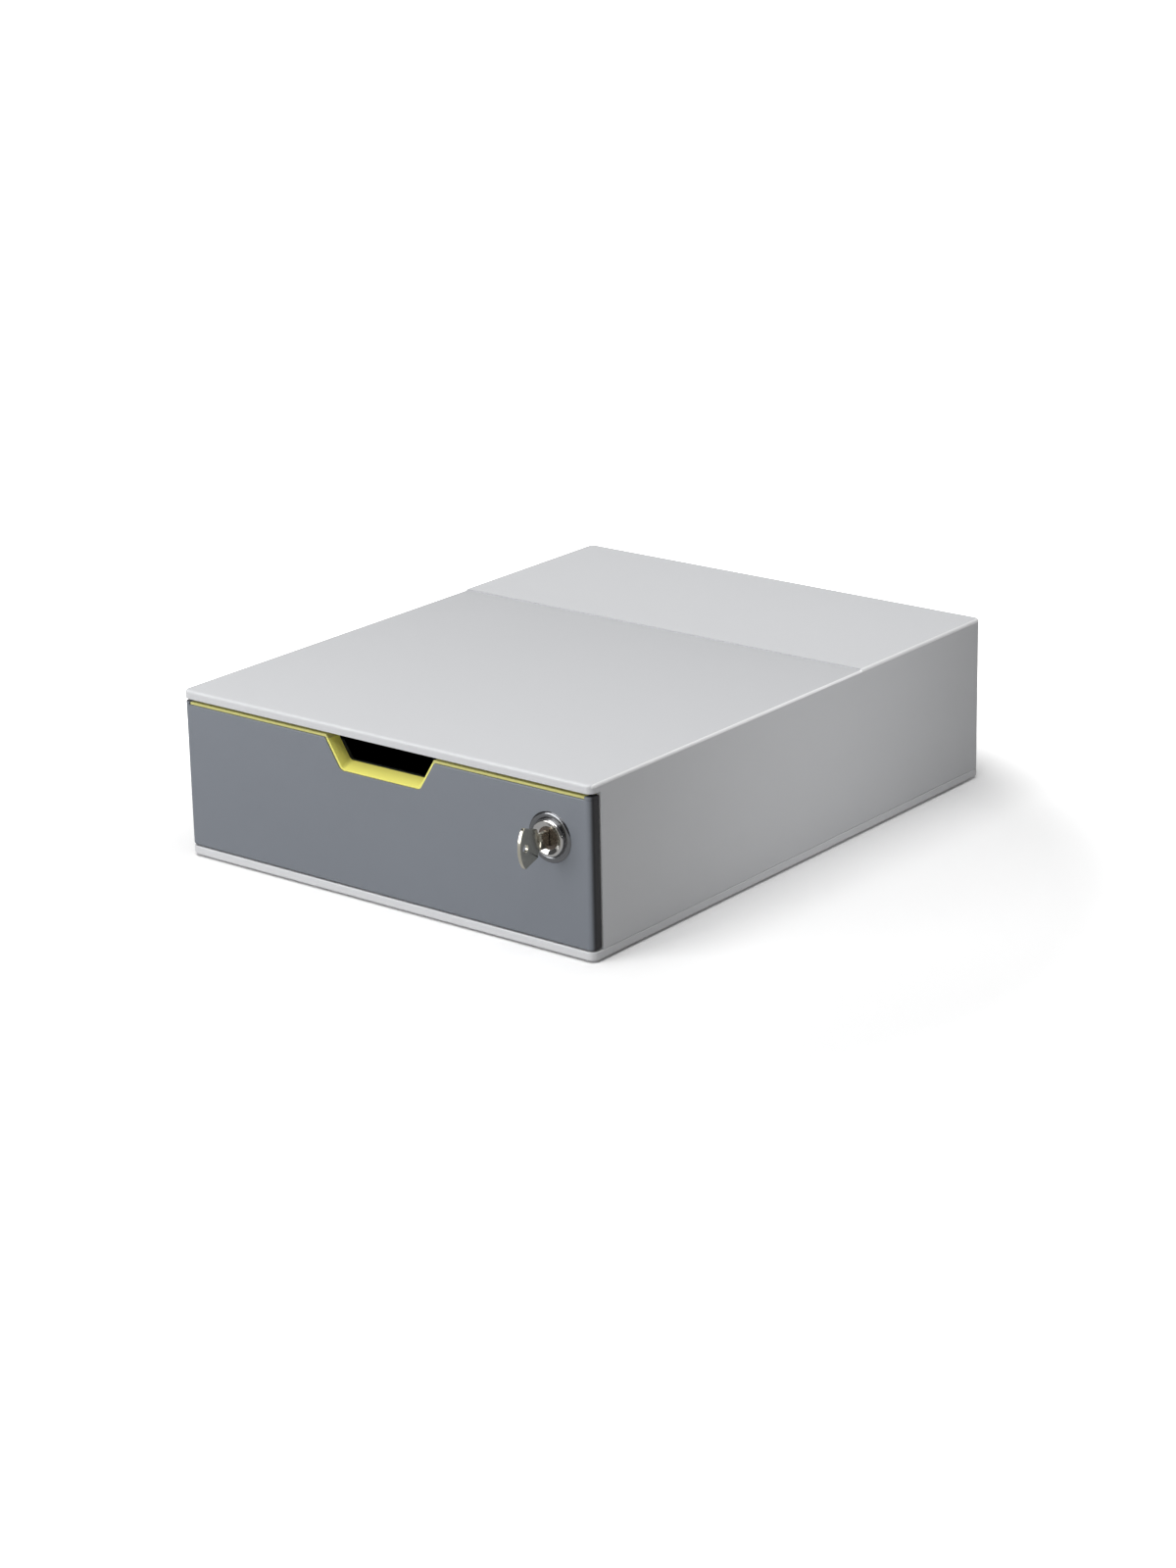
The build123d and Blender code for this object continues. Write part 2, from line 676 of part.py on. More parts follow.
with BuildPart() as lock_body:
    with BuildSketch(facing(front_y - ring_thickness)):
        with Locations(lock_centre):
            Circle(head_radius)
    extrude(amount=head_height)
    chamfer(lock_body.faces().sort_by(Axis.Y)[0].edges(), head_bevel)
    with BuildSketch(facing(front_y - ring_thickness)) as barrel_section:
        with Locations(lock_centre):
            Circle(barrel_radius)
            Rectangle(2 * barrel_radius, 2 * barrel_flat, mode=Mode.INTERSECT)
    extrude(amount=front_y - ring_thickness - barrel_end_y)
    with BuildSketch(facing(head_y)):
        with Locations(lock_centre):
            Circle(plug_radius + running_fit)
    extrude(amount=head_y - barrel_end_y, mode=Mode.SUBTRACT)
    # Seat of the plug's face, at the bottom of a dished mouth.
    with BuildSketch(facing(plug_face_y)):
        with Locations(lock_centre):
            Circle(plug_face_radius + running_fit)
    extrude(amount=-plug_face_height, mode=Mode.SUBTRACT)
    with BuildSketch(facing(head_y)):
        with Locations(lock_centre):
            Circle(dish_radius)
    with BuildSketch(facing(plug_face_y)):
        with Locations(lock_centre):
            Circle(plug_face_radius + slip)
    loft(mode=Mode.SUBTRACT)
lock_body.part.label = "lock_body"
export_step(lock_body.part, "parts/lock_body.step")

with BuildPart() as lock_washer:
    with BuildSketch(facing(washer_y)):
        with Locations(lock_centre):
            Circle(barrel_radius + washer_rim)
            Circle(barrel_radius + metal_fit, mode=Mode.SUBTRACT)
    extrude(amount=-washer_thickness)
lock_washer.part.label = "lock_washer"
export_step(lock_washer.part, "parts/lock_washer.step")

with BuildPart() as lock_nut:
    with BuildSketch(facing(nut_y)):
        with Locations(lock_centre):
            RegularPolygon(nut_across_flats / 2, 6, major_radius=False)
            Circle(barrel_radius + metal_fit, mode=Mode.SUBTRACT)
    extrude(amount=-nut_height)
    # Turned chamfer on the outer corners.
    with BuildSketch(facing(nut_y)):
        with Locations(lock_centre):
            Circle(nut_across_flats / 2 + nut_turned_rim)
    extrude(amount=-nut_height, taper=-8, mode=Mode.INTERSECT)
lock_nut.part.label = "lock_nut"
export_step(lock_nut.part, "parts/lock_nut.step")


# --- Plug, wafers and stop plate -----------------------------------------------------------------

keyway_width = key_thickness + 2 * slip
keyway_height = blade_height + 2 * slip
wafer_width = 5.6
wafer_slot_fit = 0.1
wafer_setback = 4.2
first_wafer_y = head_y + wafer_setback
wafer_ys = [first_wafer_y + row * wafer_pitch for row in range(wafer_count)]
cam_screw_hole = 2.1
cam_screw_depth = 3.0

with BuildPart() as lock_plug:
    with BuildSketch(facing(plug_face_y)):
        with Locations(lock_centre):
            Circle(plug_face_radius)
    extrude(amount=-(plug_face_height - metal_fit))
    with BuildSketch(facing(plug_face_y)):
        with Locations(lock_centre):
            Circle(plug_radius)
    extrude(amount=plug_face_y - barrel_end_y)
    with BuildSketch(facing(barrel_end_y)):
        with Locations(lock_centre):
            Rectangle(plug_tail, plug_tail)
    extrude(amount=barrel_end_y - cam_back_y)
    with BuildSketch(facing(head_y)):
        with Locations(lock_centre):
            Rectangle(keyway_width, keyway_height)
    extrude(amount=head_y - keyway_end_y, mode=Mode.SUBTRACT)
    for wafer_y in wafer_ys:
        with BuildSketch(facing(wafer_y - wafer_slot_fit)):
            with Locations(lock_centre):
                Rectangle(wafer_width + 2 * wafer_slot_fit, 2 * plug_radius)
        extrude(amount=-(wafer_thickness + 2 * wafer_slot_fit), mode=Mode.SUBTRACT)
    with BuildSketch(facing(cam_back_y)):
        with Locations(lock_centre):
            Circle(cam_screw_hole)
    extrude(amount=cam_screw_depth, mode=Mode.SUBTRACT)
lock_plug.part.label = "lock_plug"
export_step(lock_plug.part, "parts/lock_plug.step")

with BuildPart() as lock_wafers:
    for wafer_y in wafer_ys:
        with BuildSketch(facing(wafer_y)):
            with Locations(lock_centre):
                Circle(plug_radius - metal_fit)
                Rectangle(wafer_width, 2 * plug_radius, mode=Mode.INTERSECT)
                Rectangle(keyway_width, keyway_height, mode=Mode.SUBTRACT)
        extrude(amount=-wafer_thickness)
lock_wafers.part.label = "lock_wafers"
export_step(lock_wafers.part, "parts/lock_wafers.step")

stop_plate_rim = 0.6
stop_tongue_width = 4.0
stop_tongue_height = 3.0

with BuildPart() as cam_stop_plate:
    with BuildSketch(facing(stop_plate_y)):
        with Locations(lock_centre):
            Circle(barrel_radius - stop_plate_rim)
        with Locations((lock_x, lock_height - barrel_radius)):
            Rectangle(stop_tongue_width, stop_tongue_height)
        with Locations(lock_centre):
            Rectangle(plug_tail + 2 * metal_fit, plug_tail + 2 * metal_fit, mode=Mode.SUBTRACT)
    extrude(amount=-stop_plate_thickness)
cam_stop_plate.part.label = "cam_stop_plate"
export_step(cam_stop_plate.part, "parts/cam_stop_plate.step")


# --- Cam with its washer and screw: drawn unlocked, pointing to the middle of the drawer --------

cam_hub_radius = 8.0
cam_tip_radius = 2.5
cam_washer_radius = 6.0
cam_washer_thickness = 0.8

with BuildPart() as lock_cam:
    with BuildSketch(facing(cam_y)) as cam_arm:
        with Locations((lock_x, lock_height)):
            Rectangle(cam_reach, cam_width, align=(Align.MAX, Align.CENTER))
        fillet(cam_arm.vertices().group_by(Axis.X)[0], cam_tip_radius)
        with Locations(lock_centre):
            Circle(cam_hub_radius)
            Rectangle(plug_tail + 2 * metal_fit, plug_tail + 2 * metal_fit, mode=Mode.SUBTRACT)
    extrude(amount=-cam_thickness)
lock_cam.part.label = "lock_cam"
export_step(lock_cam.part, "parts/lock_cam.step")

with BuildPart() as cam_washer:
    with BuildSketch(facing(cam_back_y)):
        with Locations(lock_centre):
            Circle(cam_washer_radius)
            Circle(cam_screw_hole, mode=Mode.SUBTRACT)
    extrude(amount=-cam_washer_thickness)
cam_washer.part.label = "cam_washer"
export_step(cam_washer.part, "parts/cam_washer.step")

cam_screw_seat_y = cam_back_y + cam_washer_thickness
cam_screw_head_radius = 3.6
cam_screw_head = 2.4
cam_screw_bevel = 0.9
cam_screw_tip_gap = 0.5

with BuildPart() as cam_screw:
    with BuildSketch(facing(cam_screw_seat_y)):
        with Locations(lock_centre):
            Circle(cam_screw_head_radius)
    extrude(amount=-cam_screw_head)
    chamfer(cam_screw.faces().sort_by(Axis.Y)[-1].edges(), cam_screw_bevel)
    with BuildSketch(facing(cam_screw_seat_y)):
        with Locations(lock_centre):
            Circle(cam_screw_hole - metal_fit)
    extrude(amount=cam_washer_thickness + cam_screw_depth - cam_screw_tip_gap)
cam_screw.part.label = "cam_screw"
export_step(cam_screw.part, "parts/cam_screw.step")


# --- Key: flat, upright in the lock, cuts along its lower edge ------------------------------------

bow_shoulder = 1.5
bow_corner = 1.6
neck_root = 2.0
tip_lower_bevel = 3.0
tip_upper_bevel = 2.0
key_shoulder_y = head_y - slip
blade_tip_y = keyway_end_y - slip
bow_end_y = head_y - neck_length - bow_length
cut_depths = [1.2, 2.0, 0.8, 1.6, 1.2]
cut_half_width = 1.2

with BuildPart() as key:
    with BuildSketch(Plane.YZ.offset(lock_x - key_thickness / 2)) as key_outline:
        # Bow: crowned outer end, sides drawn in towards the neck.
        with BuildLine():
            crown = ThreePointArc(
                (bow_end_y + bow_crown, lock_height + bow_height / 2),
                (bow_end_y, lock_height),
                (bow_end_y + bow_crown, lock_height - bow_height / 2),
            )
            Polyline(
                crown @ 1,
                (bow_end_y + bow_length - bow_shoulder, lock_height - bow_inner_height / 2),
                (bow_end_y + bow_length, lock_height),
                (bow_end_y + bow_length - bow_shoulder, lock_height + bow_inner_height / 2),
                crown @ 0,
            )
        make_face()
        fillet(key_outline.vertices(), bow_corner)
        with Locations((bow_end_y + ring_hole_inset, lock_height)):
            Circle(ring_hole_radius, mode=Mode.SUBTRACT)
        with Locations((key_shoulder_y, lock_height)):
            Rectangle(neck_length + neck_root, neck_height, align=(Align.MAX, Align.CENTER))
        # Blade with a bevelled tip.
        with BuildLine():
            Polyline(
                (key_shoulder_y, lock_height - blade_height / 2),
                (blade_tip_y - tip_lower_bevel, lock_height - blade_height / 2),
                (blade_tip_y, lock_height),
                (blade_tip_y - tip_upper_bevel, lock_height + blade_height / 2),
                (key_shoulder_y, lock_height + blade_height / 2),
                close=True,
            )
        make_face()
        for wafer_y, cut_depth in zip(wafer_ys, cut_depths):
            cut_y = wafer_y + wafer_thickness / 2
            cut_base = lock_height - blade_height / 2
            with BuildLine():
                Polyline(
                    (cut_y - cut_half_width, cut_base),
                    (cut_y, cut_base + cut_depth),
                    (cut_y + cut_half_width, cut_base),
                    close=True,
                )
            make_face(mode=Mode.SUBTRACT)
    extrude(amount=key_thickness)
key.part.label = "key"
export_step(key.part, "parts/key.step")
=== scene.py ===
from math import pi, radians

import bpy
from mathutils import Matrix, Vector


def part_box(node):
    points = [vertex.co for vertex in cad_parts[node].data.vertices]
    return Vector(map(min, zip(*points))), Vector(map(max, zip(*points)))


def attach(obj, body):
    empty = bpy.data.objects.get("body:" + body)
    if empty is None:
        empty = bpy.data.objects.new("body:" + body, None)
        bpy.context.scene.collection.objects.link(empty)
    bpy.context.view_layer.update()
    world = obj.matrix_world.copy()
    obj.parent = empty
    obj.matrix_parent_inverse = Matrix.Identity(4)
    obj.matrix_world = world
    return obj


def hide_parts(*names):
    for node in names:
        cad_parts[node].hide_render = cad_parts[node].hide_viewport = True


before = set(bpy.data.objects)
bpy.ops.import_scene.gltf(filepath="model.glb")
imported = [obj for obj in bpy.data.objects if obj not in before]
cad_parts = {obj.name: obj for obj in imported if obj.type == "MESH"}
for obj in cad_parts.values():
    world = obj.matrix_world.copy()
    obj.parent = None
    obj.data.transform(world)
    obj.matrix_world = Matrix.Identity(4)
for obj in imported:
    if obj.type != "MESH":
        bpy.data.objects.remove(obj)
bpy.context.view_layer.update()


# --- Housing cover ---------------------------------------------------------------------------
# Lid, side walls and back of the case, injection moulded in one piece of light grey plastic.
# The skin has the fine spark-eroded grain of the mould. The dished front of the lid carries painted
# shade that deepens toward the step, darker than the level band behind it, and painted highlights
# run along the lid's side and front edges.


class Signal:
    """A value that varies over a surface; arithmetic on it adds Math nodes to its sheet."""

    def __init__(self, sheet, socket):
        self.sheet = sheet
        self.socket = socket

    def __add__(self, other):
        return self.sheet.math("ADD", self, other)

    def __radd__(self, other):
        return self.sheet.math("ADD", other, self)

    def __sub__(self, other):
        return self.sheet.math("SUBTRACT", self, other)

    def __rsub__(self, other):
        return self.sheet.math("SUBTRACT", other, self)

    def __mul__(self, other):
        return self.sheet.math("MULTIPLY", self, other)

    def __rmul__(self, other):
        return self.sheet.math("MULTIPLY", other, self)

    def __abs__(self):
        return self.sheet.math("ABSOLUTE", self, 0.0)


class NodeSheet:
    """A sheet of nodes, each added with its settings and with values or signals in its sockets."""

    def __init__(self, tree):
        self.tree = tree

    def add(self, kind, settings=None, values=None, output=0):
        node = self.tree.nodes.new(kind)
        for setting, value in (settings or {}).items():
            setattr(node, setting, value)
        for socket, value in (values or {}).items():
            if isinstance(value, Signal):
                self.tree.links.new(value.socket, node.inputs[socket])
            else:
                node.inputs[socket].default_value = value
        return Signal(self, node.outputs[output])

    def math(self, operation, left, right):
        return self.add("ShaderNodeMath", {"operation": operation}, {0: left, 1: right})

    def step(self, value, start, end, low=0.0, high=1.0):
        settings = {"interpolation_type": "SMOOTHSTEP"}
        values = {0: value, 1: start, 2: end, 3: low, 4: high}
        return self.add("ShaderNodeMapRange", settings, values)

    def colour_between(self, amount, low, high):
        return self.add("ShaderNodeMix", {"data_type": "RGBA"}, {0: amount, 6: low, 7: high}, 2)


class Finish(NodeSheet):
    """A material on the object, its patterns laid out in the object's own coordinates."""

    def __init__(self, name, **constants):
        self.material = bpy.data.materials.new(name)
        self.material.use_nodes = True
        super().__init__(self.material.node_tree)
        self.shader = self.tree.nodes["Principled BSDF"]
        for socket, value in constants.items():
            self.shader.inputs[socket.replace("_", " ")].default_value = value
        self.place = self.add("ShaderNodeTexCoord", output="Object")

    def noise(self, scale, detail=2.0, roughness=0.5):
        values = {"Vector": self.place, "Scale": scale, "Detail": detail, "Roughness": roughness}
        return self.add("ShaderNodeTexNoise", {}, values)

    def along(self, axis):
        return self.add("ShaderNodeSeparateXYZ", {}, {0: self.place}, axis)

    def bump(self, height, distance):
        return self.add("ShaderNodeBump", {}, {"Distance": distance, "Height": height}, "Normal")

    def feed_shader(self, **signals):
        for socket, signal in signals.items():
            self.tree.links.new(signal.socket, self.shader.inputs[socket.replace("_", " ")])


def grained(name, dark, light, roughness, grain_size=0.00045, grain_depth=0.00002):
    """Moulded plastic: fine grain, faint flow mottling, and a gloss that drifts a little."""
    flow_scale = 9.0
    flow_share = 0.75
    flow_gloss = 0.08
    grain_gloss = 0.06
    base_gloss = roughness - (flow_gloss + grain_gloss) / 2
    finish = Finish(name)
    grain = finish.noise(1 / grain_size, 2.0, 0.6)
    flow = finish.noise(flow_scale, 3.0, 0.55)
    finish.mottle = flow * flow_share + grain * (1 - flow_share)
    finish.feed_shader(
        Base_Color=finish.colour_between(finish.mottle, dark, light),
        Roughness=flow * flow_gloss + grain * grain_gloss + base_gloss,
        Normal=finish.bump(grain, grain_depth),
    )
    return finish


def take_copy(node, name):
    """A new piece with a CAD node's closed shape, its loose triangles merged into plain faces."""
    merge_distance = 0.000002
    flat_within = radians(0.4)
    piece = bpy.data.objects.new(name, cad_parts[node].data.copy())
    bpy.context.scene.collection.objects.link(piece)
    bpy.ops.object.select_all(action="DESELECT")
    bpy.context.view_layer.objects.active = piece
    piece.select_set(True)
    bpy.ops.mesh.customdata_custom_splitnormals_clear()
    bpy.ops.object.mode_set(mode="EDIT")
    bpy.ops.mesh.select_all(action="SELECT")
    bpy.ops.mesh.remove_doubles(threshold=merge_distance)
    bpy.ops.mesh.dissolve_limited(angle_limit=flat_within)
    bpy.ops.object.mode_set(mode="OBJECT")
    return piece


def round_edges(piece, width, segments=2, sharper_than=35.0):
    """Breaks every sharp edge of a piece, its flat faces staying flat in the light."""
    bpy.ops.object.shade_smooth_by_angle(angle=radians(sharper_than))
    bevel = piece.modifiers.new("broken_edges", "BEVEL")
    bevel.width = width
    bevel.segments = segments
    bevel.limit_method = "ANGLE"
    bevel.angle_limit = radians(sharper_than)
    bevel.harden_normals = True
    bpy.ops.object.modifier_apply(modifier=bevel.name)


def place_piece(piece, finish, body, slot, *nodes):
    """Gives a piece its finish, lets it ride on its body and stand for its CAD nodes."""
    piece.data.materials.clear()
    piece.data.materials.append(finish.material)
    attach(piece, body)
    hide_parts(*nodes)


def dress_copy(node, name, edge, finish, body, slot, segments=2):
    """A CAD node's shape with broken edges and its finish, in the node's stead."""
    piece = take_copy(node, name)
    round_edges(piece, edge, segments)
    place_piece(piece, finish, body, slot, node)


case_low, case_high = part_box("housing_cover")
lid_step_y = case_low.y + 0.237
lid_depth = 0.0022
lid_blend = 0.0006
step_before, step_past = 0.0002, 0.0004
side_edge = 0.0014
front_edge = 0.0012
front_blend = 0.0005
side_highlight_share, front_highlight_share = 0.9, 0.05
light_grey = (0.6, 0.607, 0.622, 1.0)
light_grey_high = (0.64, 0.648, 0.664, 1.0)
dish_painted_shade_grey = (0.515, 0.522, 0.537, 1.0)
edge_painted_highlight_grey = (0.93, 0.932, 0.936, 1.0)

cover_plastic = grained("light_grey_plastic", light_grey, light_grey_high, 0.46)
depth = cover_plastic.along("Y")
height = cover_plastic.along("Z")
on_lid = cover_plastic.step(
    height, case_high.z - lid_depth, case_high.z - lid_depth + lid_blend
)
toward_step = cover_plastic.add("ShaderNodeMapRange", {}, {0: depth, 1: case_low.y, 2: lid_step_y})
before_step = 1.0 - cover_plastic.step(depth, lid_step_y - step_before, lid_step_y + step_past)
# Painted shade: the dished front of the lid darkens from its front edge toward the step.
painted_dish_shade = on_lid * toward_step * before_step
from_middle = abs(cover_plastic.along("X"))
# Painted highlight: pale bands along the lid's side edges and, faintly, along its front edge.
side_edge_highlight = cover_plastic.step(
    from_middle, case_high.x - side_edge, case_high.x - side_edge + lid_blend
)
front_edge_highlight = 1.0 - cover_plastic.step(
    depth, case_low.y + front_edge - front_blend, case_low.y + front_edge
)
painted_edge_highlight = cover_plastic.math("MAXIMUM", side_edge_highlight * side_highlight_share, front_edge_highlight * front_highlight_share) * on_lid
# The lid's colour: grain, then painted shade on the dish, then the painted edge highlight.
plain = cover_plastic.colour_between(cover_plastic.mottle, light_grey, light_grey_high)
lid_grey = cover_plastic.colour_between(painted_dish_shade, plain, dish_painted_shade_grey)
cover_plastic.feed_shader(Base_Color=cover_plastic.colour_between(painted_edge_highlight, lid_grey, edge_painted_highlight_grey))

dress_copy("housing_cover", "cover", 0.00025, cover_plastic, "housing", "light_grey_plastic")


# --- Base plate ------------------------------------------------------------------------------
# Shallow moulded tray that closes the case below, of the same plastic, given a lighter grey as
# painted light. Its front edge is the sill under the drawer, pale partly from that painted light,
# and its seam with the cover runs round the foot of the walls.

# Painted light: the base takes a lighter grey than the cover's plastic, to brighten the sill.
base_grey_painted_lit = (0.66, 0.666, 0.68, 1.0)
base_grey_painted_lit_high = (0.7, 0.707, 0.722, 1.0)
base_painted_lit_plastic = grained("base_grey_painted_lit_plastic", base_grey_painted_lit, base_grey_painted_lit_high, 0.46)
dress_copy("base_plate", "base", 0.0002, base_painted_lit_plastic, "housing", "light_grey_plastic")


# --- Rubber feet -----------------------------------------------------------------------------
# Four soft discs pressed into seats in the base, with two shallow grooves moulded round the face
# they stand on.


turned_crease = radians(28)


def turned(name, profile, bored=False, sides=64):
    """A piece turned about the Z axis from (radius, depth) pairs, its face up at depth nought."""
    mesh = bpy.data.meshes.new(name)
    piece = bpy.data.objects.new(name, mesh)
    bpy.context.scene.collection.objects.link(piece)
    bpy.ops.object.select_all(action="DESELECT")
    bpy.context.view_layer.objects.active = piece
    piece.select_set(True)
    bpy.ops.object.mode_set(mode="EDIT")
    radius, depth = profile[0]
    fill = "NOTHING" if bored else "NGON"
    bpy.ops.mesh.primitive_circle_add(
        vertices=sides, radius=radius, fill_type=fill, location=(0, 0, -depth)
    )
    for next_radius, next_depth in profile[1:]:
        sink = {"value": (0, 0, depth - next_depth)}
        bpy.ops.mesh.extrude_region_move(TRANSFORM_OT_translate=sink)
        grow = next_radius / radius
        bpy.ops.transform.resize(value=(grow, grow, 1), center_override=(0, 0, -next_depth))
        radius, depth = next_radius, next_depth
    if bored:
        bpy.ops.mesh.select_all(action="SELECT")
        bpy.ops.mesh.region_to_loop()
        bpy.ops.mesh.bridge_edge_loops()
    bpy.ops.mesh.select_all(action="SELECT")
    bpy.ops.mesh.normals_make_consistent(inside=False)
    bpy.ops.object.mode_set(mode="OBJECT")
    bpy.ops.object.shade_smooth_by_angle(angle=turned_crease)
    return piece


def stand(piece, place, facing):
    """Turns a piece whose face is up to face down, forward or back, and sets it in its place."""
    tilt = {"down": pi, "forward": pi / 2, "back": -pi / 2}[facing]
    piece.data.transform(Matrix.Translation(place) @ Matrix.Rotation(tilt, 4, "X"))


def another(piece, name, move):
    """A copy of a piece with its own mesh, moved from where the first one is."""
    copy = bpy.data.objects.new(name, piece.data.copy())
    bpy.context.scene.collection.objects.link(copy)
    copy.data.transform(Matrix.Translation(move))
    return copy


rubber_black = (0.03, 0.03, 0.031, 1.0)
rubber_worn = (0.05, 0.05, 0.05, 1.0)
foot_rubber = grained("foot_rubber", rubber_black, rubber_worn, 0.7, 0.0006, 0.00004)
foot_profile = [
    (0.00235, 0.0), (0.0025, 0.00018), (0.0029, 0.00018), (0.00305, 0.0),
    (0.0039, 0.0), (0.00405, 0.00018), (0.00445, 0.00018), (0.0046, 0.0),
    (0.0054, 0.0), (0.00568, 0.00012), (0.00589, 0.00033), (0.006, 0.0006), (0.006, 0.002),
]
first_low, first_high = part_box("foot_front_left")
first_middle = (first_low + first_high) / 2
first_foot = turned("rubber_foot_front_left", foot_profile)
stand(first_foot, Vector((first_middle.x, first_middle.y, first_low.z)), "down")
for corner in ("front_left", "front_right", "rear_left", "rear_right"):
    foot_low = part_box(f"foot_{corner}")[0]
    foot = first_foot
    if corner != "front_left":
        foot = another(first_foot, f"rubber_foot_{corner}", foot_low - first_low)
    place_piece(foot, foot_rubber, "housing", "foot_rubber", f"foot_{corner}")


# --- Front panel -----------------------------------------------------------------------------
# Dark grey moulded front with its finger notch, the same grain as the case, screwed to the tray
# with the liner between. Its rounded ends, where they turn into the gap beside the case, are
# painted almost black as shade.

dark_grey = (0.184, 0.2, 0.228, 1.0)
dark_grey_high = (0.202, 0.22, 0.251, 1.0)
panel_end_painted_shade = (0.014, 0.0145, 0.017, 1.0)

panel_plastic = grained("panel_grey_plastic", dark_grey, dark_grey_high, 0.42)
panel_low, panel_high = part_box("front_panel")
face_grey = panel_plastic.colour_between(panel_plastic.mottle, dark_grey, dark_grey_high)
corner_start_x = panel_high.x - 0.0037
corner_start_y = panel_low.y + 0.0003
corner_end_y = panel_low.y + 0.0024
# Painted shade: the rounded ends of the front go almost black toward the gap beside the case.
at_ends = panel_plastic.step(
    abs(panel_plastic.along("X")), corner_start_x, corner_start_x + 0.0002
)
round_corner = panel_plastic.step(panel_plastic.along("Y"), corner_start_y, corner_end_y)
panel_plastic.feed_shader(
    Base_Color=panel_plastic.colour_between(at_ends * round_corner, face_grey, panel_end_painted_shade)
)
dress_copy("front_panel", "panel", 0.0002, panel_plastic, "drawer", "dark_grey_plastic")


# --- Front liner -----------------------------------------------------------------------------
# Yellow moulding clamped between the panel and the tray; it shows as a line above the panel
# and as the frame of the finger notch. That line lies in the shade of the lid's lip and is painted
# a darker, duller yellow as painted shade.

notch_yellow = (0.93, 0.87, 0.19, 1.0)
notch_yellow_high = (0.96, 0.91, 0.24, 1.0)
strip_painted_shade_yellow = (0.6, 0.57, 0.19, 1.0)
strip_painted_shade_yellow_high = (0.66, 0.63, 0.23, 1.0)

yellow_plastic = grained("yellow_plastic", notch_yellow, notch_yellow_high, 0.32)
strip_start_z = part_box("front_liner")[1].z - 0.0024
# Painted shade: the top of the liner, under the lid's lip, takes a darker, duller yellow.
strip_shade_mask = yellow_plastic.step(yellow_plastic.along("Z"), strip_start_z, strip_start_z + 0.0006)
notch_colour = yellow_plastic.colour_between(yellow_plastic.mottle, notch_yellow, notch_yellow_high)
strip_shade_colour = yellow_plastic.colour_between(yellow_plastic.mottle, strip_painted_shade_yellow, strip_painted_shade_yellow_high)
yellow_plastic.feed_shader(Base_Color=yellow_plastic.colour_between(strip_shade_mask, notch_colour, strip_shade_colour))
dress_copy("front_liner", "liner", 0.0002, yellow_plastic, "drawer", "yellow_plastic")


# --- Drawer tray -----------------------------------------------------------------------------
# Near-black moulded tray behind the front, with a groove along each side that runs on the case's
# rails, and the tabs at its back that stop it.

tray_black = (0.02, 0.02, 0.022, 1.0)
tray_black_high = (0.03, 0.03, 0.032, 1.0)
tray_plastic = grained("tray_plastic", tray_black, tray_black_high, 0.5)
dress_copy("drawer_tray", "tray", 0.0002, tray_plastic, "drawer", "tray_plastic")


# --- Screws ----------------------------------------------------------------------------------
# Self-tapping pan-head screws, bright zinc plate: six hold the base to the cover from below, four
# hold the tray and the liner to the panel. Rolled thread, cross recess in the head.

zinc_dull = (0.52, 0.53, 0.55, 1.0)
zinc_bright = (0.66, 0.66, 0.66, 1.0)
zinc = Finish("zinc_plate", Metallic=1.0)
cloud = zinc.noise(400.0, 3.0)
zinc.feed_shader(
    Base_Color=zinc.colour_between(cloud, zinc_dull, zinc_bright),
    Roughness=cloud * 0.14 + 0.24,
)


def cross_cut(piece, width, depth):
    """Presses a cross recess, tapered like its driver's bit, into the face at depth nought."""
    arm = 0.24 * width
    taper = 0.5
    bpy.ops.object.select_all(action="DESELECT")
    bpy.ops.mesh.primitive_cube_add(size=1, location=(0, 0, 0))
    bit = bpy.context.object
    bpy.ops.object.mode_set(mode="EDIT")
    bpy.ops.transform.resize(value=(width, arm, 2 * depth))
    bpy.ops.mesh.duplicate_move()
    bpy.ops.transform.rotate(value=pi / 2, orient_axis="Z", center_override=(0, 0, 0))
    bpy.ops.object.mode_set(mode="OBJECT")
    for corner in bit.data.vertices:
        if corner.co.z < 0:
            corner.co.x *= taper
            corner.co.y *= taper
    bit_mesh = bit.data
    bpy.ops.object.select_all(action="DESELECT")
    bpy.context.view_layer.objects.active = piece
    piece.select_set(True)
    recess = piece.modifiers.new("recess", "BOOLEAN")
    recess.operation = "DIFFERENCE"
    recess.solver = "EXACT"
    recess.use_self = True
    recess.object = bit
    bpy.ops.object.modifier_apply(modifier=recess.name)
    bpy.data.objects.remove(bit)
    bpy.data.meshes.remove(bit_mesh)
    bpy.ops.object.shade_smooth_by_angle(angle=turned_crease)


def screw(name, head_radius, head_height, radius, length, pitch, pointed):
    """A screw, its thread rolled as close ridges along the shank."""
    core = 0.76
    tip_length, end_size = (0.0026, 0.08) if pointed else (0.0005, 0.7)
    profile = [
        (head_radius - 0.0009, 0.0),
        (head_radius - 0.00045, 0.00012),
        (head_radius - 0.00012, 0.00045),
        (head_radius, 0.0009),
        (head_radius, head_height - 0.0001),
        (head_radius - 0.0001, head_height),
        (radius * core, head_height),
    ]
    end = head_height + length
    depth = head_height + 0.0006
    tip = end - tip_length
    while depth + pitch < end:
        taper = 1.0 if depth < tip else max(0.12, (end - depth) / (end - tip))
        profile += [
            (radius * core * taper, depth),
            (radius * taper, depth + pitch * 0.4),
            (radius * taper, depth + pitch * 0.5),
            (radius * core * taper, depth + pitch * 0.9),
        ]
        depth += pitch
    profile += [(radius * end_size, end)]
    piece = turned(name, profile, sides=32)
    cross_cut(piece, head_radius * 1.15, head_height * 0.62)
    return piece


